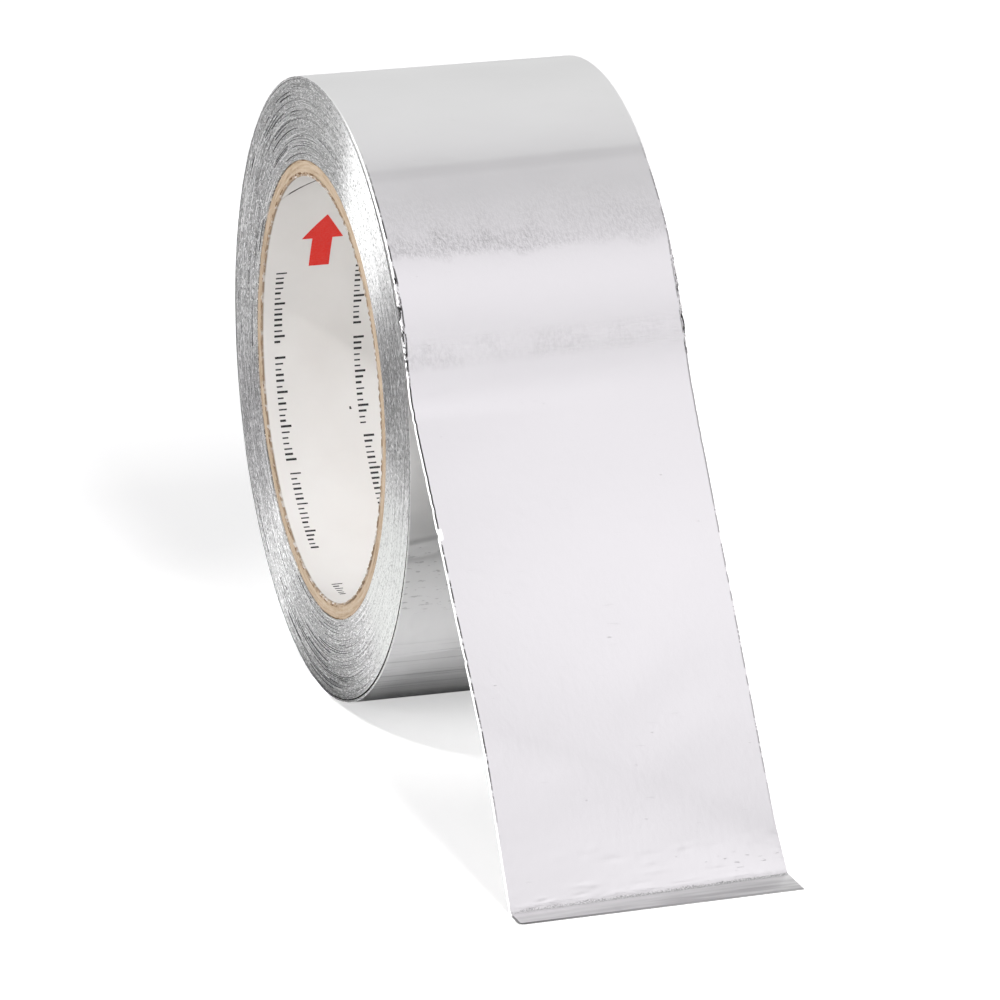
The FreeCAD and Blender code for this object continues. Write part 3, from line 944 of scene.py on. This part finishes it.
# Rows of ticks: lowest x, and the polar angles between which they run.
TICK_ROWS = ((-22.9, 15.5, -6), (-22.9, -9.5, -39), (-22.6, -42, -67.5),
             (-7.9, 16, -2), (-7.9, -5.5, -29.5), (-7.6, -33, -62),
             (-22.2, -86, -94))
TICK_PITCH = 1.05  # millimetres
GROUP, MISSING = 24, (21, 22, 23)  # ticks are left out at the end of each group
LONG_EVERY, LONG_TICK, SHORT_TICKS = 6, 2, (1.1, 1.5)  # every sixth tick is long
TICK_WIDTHS = (0.28, 0.42)
SMALL_MARK = (-9.6, -25)  # a dot of ink: x and polar angle


def printing(materials):
    """Plain printing: a red arrow the way the tape unwinds, and black length ticks."""
    points, faces, slots = [], [], []
    degree = math.degrees(1 / BORE)  # one millimetre round the bore

    def patch(slot, rows):
        """Adds a closed thin patch on the bore: rows are (polar angle, lowest x, highest x)."""
        first = len(points)
        for degrees, low, high in rows:
            for radius in (BORE - INK_PROUD, BORE + INK_SUNK):
                y, z = polar(radius, degrees)
                points.extend([(low, y, z), (high, y, z)])
        last = first + 4 * (len(rows) - 1)
        for a in range(first, last, 4):
            b = a + 4
            faces.extend([(a, a + 1, b + 1, b), (a + 2, b + 2, b + 3, a + 3),
                          (a, b, b + 2, a + 2), (a + 1, a + 3, b + 3, b + 1)])
        faces.extend([(first, first + 2, first + 3, first + 1),
                      (last, last + 1, last + 3, last + 2)])
        slots.extend([slot] * (len(faces) - len(slots)))

    (shaft, thin), (head, broad) = SHAFT, HEAD
    outline = [(step, thin) for step in np.linspace(0, shaft, 8)]
    outline += [(step, broad * (head - step) / (head - shaft))
                for step in np.linspace(shaft + 0.01, head - 0.05, 8)]
    patch(RED, [(ARROW_FOOT + degree * step, ARROW_MIDDLE - half, ARROW_MIDDLE + half)
                for step, half in outline])
    for x, start, stop in TICK_ROWS:
        for number, degrees in enumerate(np.arange(start, stop, -degree * TICK_PITCH)):
            if number % GROUP in MISSING:
                continue
            tall = LONG_TICK if number % LONG_EVERY == 0 else rng.choice(SHORT_TICKS)
            wide = degree * rng.choice(TICK_WIDTHS)
            patch(BLACK, [(degrees, x, x + tall), (degrees + wide, x, x + tall)])
    x, degrees = SMALL_MARK
    patch(BLACK, [(degrees, x, x + 0.45), (degrees + 0.8, x, x + 0.3)])
    make_piece("liner_print", points, faces, materials, slots, "bore_liner")


# ---- studio

# Angle over the roll's axis, 0 behind it and 180 in front, and the brightness there.
STUDIO_WRAP = ((-90, 0.5), (-18, 0.45), (-10, 0.74), (-4, 0.81), (10, 0.71), (24, 0.76),
               (40, 0.8), (74, 0.79), (78, 0.62), (82, 0.42), (88, 0.68), (100, 0.77),
               (112, 0.82), (122, 0.83), (134, 0.8), (141, 0.7), (148, 0.62), (156, 0.62),
               (166, 0.72), (180, 0.8))
STUDIO_LILAC = (60, 110)  # angles over which the studio turns a touch lilac
STUDIO_FALL = (0.4, 0.8)  # how far to the side, of 1, its brightness falls
STUDIO_ENDS = 0.45  # share of it left towards the two ends of the axis
STUDIO_SOFT = 0.5  # share of it that falls on matt surfaces

FLOOR_RADIUS, FLOOR_STEPS = 1, 96
FLOOR_FALL = (-210, -110)  # where the floor the foil sees turns from dark to bright
FLOOR_FAR, FLOOR_NEAR = 0.35, 0.95
FLOOR_SEEN = 0.75  # its grey to the camera
FLOOR_SOFT = 0.46  # its grey to matt surfaces
FLOOR_LIFT = 0.16  # light that the floor under the roll adds to the foil's view
FLOOR_GLOW = (0.51, 0.62)  # the camera's view of it glows, near the roll and far off
GLOW_RADII = (90, 200)
# Painted shade under the roll and the free end: place along Y in millimetres, and grey.
FLOOR_UNDER = ((-130, 0.4), (-96, 0.34), (-84, 0.78), (-60, 0.9), (-44, 0.86), (-32, 0.46),
               (-22, 0.16), (-15, 0.03), (8, 0.03), (30, 0.38), (64, 0.7), (130, 0.8))
UNDER_EDGE = (-36, -26)  # across, that shade begins between these

CAMERA_PLACE = (-376.944, -1207.957, 415.86)
CAMERA_ANGLES = (-17.697, 19.127, 0.614)  # azimuth, elevation and roll
CAMERA_LENS, CAMERA_SENSOR = 268.586, 36


def tinted(brightness, share):
    """A grey that turns a touch lilac."""
    return (brightness, brightness * (1 - 0.03 * share), brightness * (1 + 0.01 * share))


def spread(table):
    """Stops of a ramp over the whole of a table of places and colours."""
    first, last = table[0][0], table[-1][0]
    return [((place - first) / (last - first), colour) for place, colour in table]


def studio_world():
    """White to the camera. The foil sees a studio, bright or dark by angle over the axis."""
    world = bpy.data.worlds.new("studio")
    bpy.context.scene.world = world
    world.use_nodes = True
    world.node_tree.nodes.clear()
    nodes = Nodes(world.node_tree)
    side, back, up = nodes("TexCoord", output="Generated").parts()
    angle = nodes.math("ARCTAN2", up, back)
    share = angle.remap(math.radians(STUDIO_WRAP[0][0]), math.radians(STUDIO_WRAP[-1][0]))
    wrap = share.ramp(*spread([
        (degrees, tinted(brightness, float(np.interp(degrees, STUDIO_LILAC, (0, 1)))))
        for degrees, brightness in STUDIO_WRAP]))
    fall = abs(side).remap(*STUDIO_FALL, 1, STUDIO_ENDS, interpolation_type="SMOOTHSTEP")
    soft = nodes("LightPath", output="Is Diffuse Ray").remap(0, 1, 1, STUDIO_SOFT)
    wrapped = nodes("Background", {"Color": wrap, "Strength": fall * soft})
    white = nodes("Background", {"Color": (1, 1, 1, 1), "Strength": 1})
    seen = nodes("LightPath", output="Is Camera Ray")
    nodes.add("OutputWorld", {"Surface": nodes("MixShader", {0: seen, 1: wrapped, 2: white})})


def light(kind, name, place, target, glossy=True, diffuse=True, **settings):
    """A light in metres, turned to its target and hidden from the camera."""
    data = bpy.data.lights.new(name, kind)
    for key, value in settings.items():
        setattr(data, key, value)
    made = link(name, data)
    made.location = place
    made.rotation_mode = "QUATERNION"
    made.rotation_quaternion = (Vector(target) - Vector(place)).to_track_quat("-Z", "Y")
    made.visible_camera = False
    made.visible_glossy = glossy
    made.visible_diffuse = diffuse


def soft_box(name, place, target, size, radiance, lilac=0, **seen_by):
    """A rectangular light, as bright to the eye as its radiance."""
    wide, tall = size
    light("AREA", name, place, target, shape="RECTANGLE", size=wide, size_y=tall,
          energy=radiance * math.pi * wide * tall, color=tinted(1, lilac), **seen_by)


def studio_lights():
    """Soft boxes for the foil's reflections, fills for the rest, and a spot in the bore."""
    soft_box("front_soft_box", (0, -0.3, 0.2), (0, -0.3, 0), (0.5, 0.34), 0.18, lilac=1)
    soft_box("low_soft_box", (0.03, -0.19, 0.06), (0.03, -0.19, 0), (0.24, 0.16), 0.1,
             lilac=1, diffuse=False)
    soft_box("left_soft_box", (-0.58, 0.22, 0.42), (0, 0, 0), (0.6, 0.6), 3.3, diffuse=False)
    soft_box("left_fill", (-0.62, -0.3, 0.09), (0, 0, 0), (0.5, 0.26), 9.5, glossy=False)
    soft_box("front_key", (0.16, -0.75, 0.75), (0, 0, 0), (0.26, 0.45), 15, glossy=False)
    soft_box("floor_fill", (0.09, -1, 0.22), (0, -0.05, 0), (0.2, 0.3), 80, glossy=False)
    # The spot is narrow, and lights only the lower half of the bore.
    light("SPOT", "bore_spot", (-0.45, -0.1, 0.62), (0, 0.006, -0.034), glossy=False,
          energy=37, spot_size=math.radians(5.4), spot_blend=0.5, shadow_soft_size=0.05)


def studio_floor():
    """Plain pale floor, a disc. The camera sees a lit white table.

    The foil sees it bright beside the roll, darker further to the left, painted shade under it.
    """
    angles = np.arange(FLOOR_STEPS) * 2 * math.pi / FLOOR_STEPS
    rim = [(FLOOR_RADIUS * math.cos(a), FLOOR_RADIUS * math.sin(a), cad_low.z) for a in angles]
    mesh = bpy.data.meshes.new("studio_floor")
    mesh.from_pydata(rim, [], [list(range(FLOOR_STEPS))])
    white = Shader("floor_white")
    seen = white("LightPath", output="Is Camera Ray")
    diffuse = white("LightPath", output="Is Diffuse Ray")
    across, back = white.place().parts()[:2]
    reflected = across.remap(*FLOOR_FALL).ramp((0, FLOOR_FAR), (1, FLOOR_NEAR))
    shaded = back.remap(FLOOR_UNDER[0][0], FLOOR_UNDER[-1][0]).ramp(*spread(FLOOR_UNDER))
    under = across.remap(*UNDER_EDGE)
    colour = reflected.coated((shaded, under), (FLOOR_SOFT, diffuse), (FLOOR_SEEN, seen))
    lifted = white.mix(under, 0, shaded).coated((1, seen))
    glow = white.radius().remap(*GLOW_RADII, *FLOOR_GLOW)
    mesh.materials.append(white.surface(
        colour, 0.9, Specular_IOR_Level=0, Emission_Color=lifted,
        Emission_Strength=seen.remap(0, 1, FLOOR_LIFT, glow)))
    link("studio_floor", mesh)


def camera():
    """A long lens, in front of the roll, to its left and above."""
    data = bpy.data.cameras.new("camera")
    data.sensor_width = CAMERA_SENSOR
    data.lens = CAMERA_LENS
    data.clip_start, data.clip_end = 0.01, 20
    seen = link("camera", data)
    azimuth, elevation, roll = (math.radians(angle) for angle in CAMERA_ANGLES)
    seen.matrix_world = (Matrix.Translation(Vector(CAMERA_PLACE) * MM)
                         @ Matrix.Rotation(azimuth, 4, "Z")
                         @ Matrix.Rotation(math.pi / 2 - elevation, 4, "X")
                         @ Matrix.Rotation(roll, 4, "Z"))
    bpy.context.scene.camera = seen


camera()
studio_world()
studio_floor()
studio_lights()
bpy.context.scene.view_settings.view_transform = "Standard"

bright = foil_material()
wound_turns(turn_edges_material(), bright, gap_material())
last_turn_and_free_end([bright, adhesive_material(), cut_edge_material()])
core([board_material()])
liner([paper_material()])
printing([ink_material("red_ink", (0.74, 0.035, 0.025)),
          ink_material("black_ink", (0.03, 0.03, 0.03))])
